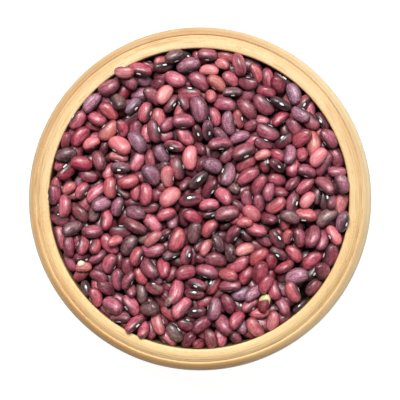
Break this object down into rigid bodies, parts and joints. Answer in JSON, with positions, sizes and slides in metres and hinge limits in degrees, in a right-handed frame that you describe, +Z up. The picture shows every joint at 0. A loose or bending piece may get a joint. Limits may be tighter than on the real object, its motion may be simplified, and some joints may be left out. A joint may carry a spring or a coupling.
{
  "type": "bowl of dried beans",
  "caption": "Thick round wooden bowl heaped with small dried red kidney-shaped beans, standing on a turned foot ring.",
  "frame": {"origin": "centre of the foot ring's underside, on the surface that the bowl stands on", "axes": "+Z up along the bowl's turning axis; +X and +Y are horizontal, +Y towards the top of the picture's view from above"},
  "size_m": [0.15, 0.15, 0.0606],
  "materials": {
    "wood": "pale turned wood, sanded, with a thin satin oil finish",
    "bean_coat": "waxy seed coats from maroon to salmon pink, slightly dusty"
  },
  "bodies": {
    "root": {"bowl": "wood", "beans": "bean_coat"}
  },
  "joints": []
}
